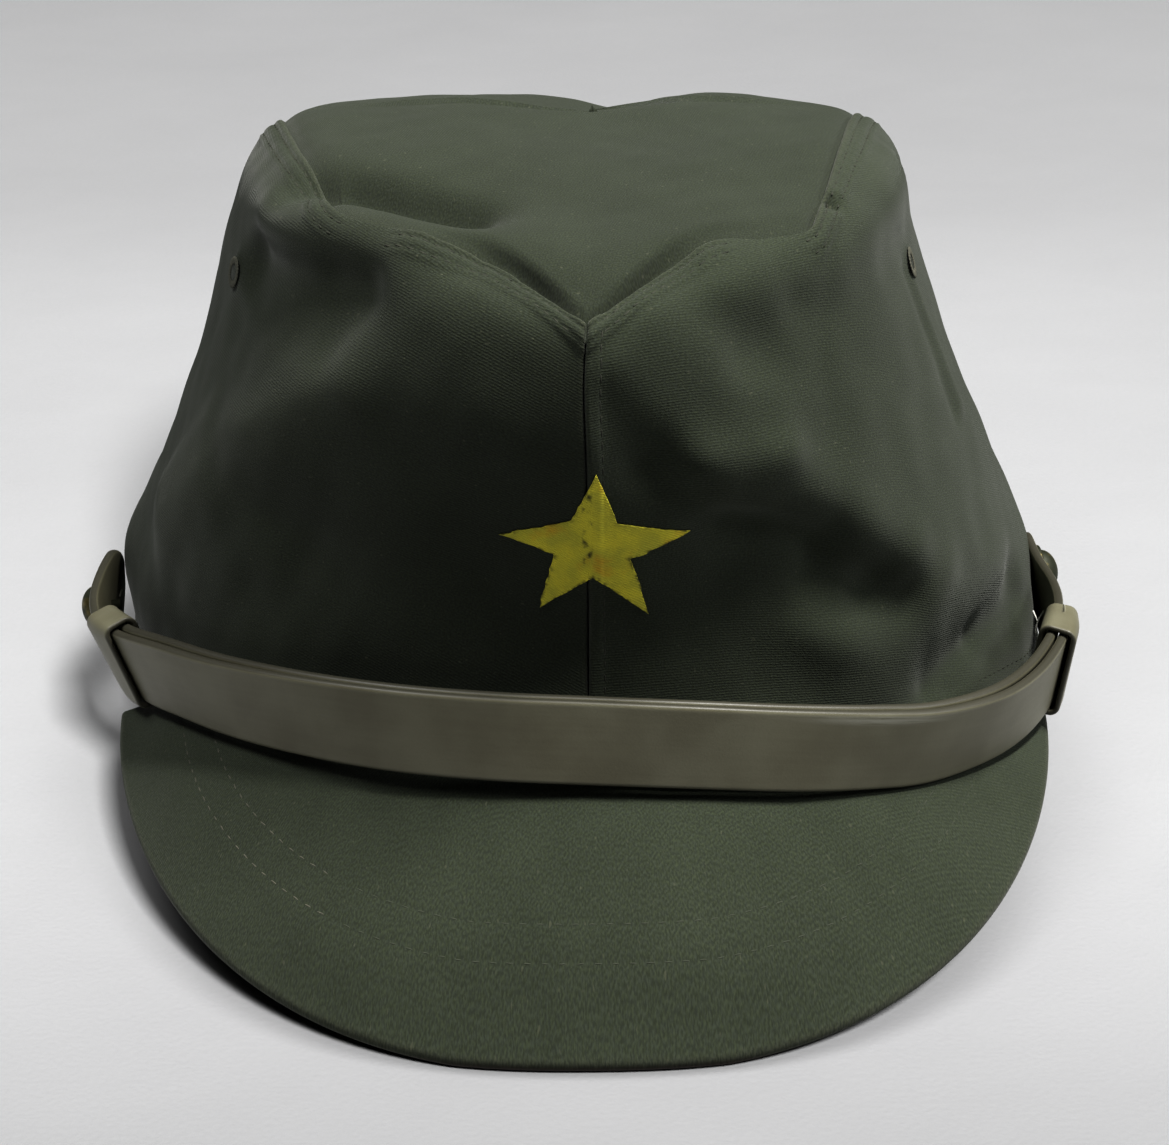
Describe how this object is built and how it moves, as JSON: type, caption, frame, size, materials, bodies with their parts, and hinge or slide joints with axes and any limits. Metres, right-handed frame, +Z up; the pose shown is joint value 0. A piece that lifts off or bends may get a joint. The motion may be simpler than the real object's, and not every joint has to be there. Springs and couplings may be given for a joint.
{
  "type": "field cap",
  "caption": "Soft cloth field cap with a creased crown, a V-pointed top panel, a stiff peak, a painted star and a leather chin strap buttoned over the front.",
  "frame": {"origin": "middle of the bounding box on the ground that the cap rests on", "axes": "+Z up, the peak and the star towards -Y, +X the wearer's left"},
  "size_m": [0.1878, 0.2324, 0.1273],
  "materials": {
    "cloth": "worn olive twill",
    "star_paint": "matte worn yellow paint on the cloth",
    "thread": "bound thread",
    "strap_leather": "smooth, slightly waxed",
    "button_metal": "dull dark bronze"
  },
  "bodies": {
    "root": {"crown_side_left": "cloth", "crown_side_right": "cloth", "crown_top": "cloth", "peak": "cloth", "star": "star_paint", "vent_eyelet_left": "thread", "vent_eyelet_right": "thread", "chin_strap_outer": "strap_leather", "chin_strap_inner": "strap_leather", "keeper_left": "strap_leather", "keeper_right": "strap_leather", "button_left": "button_metal", "button_right": "button_metal"}
  },
  "joints": []
}
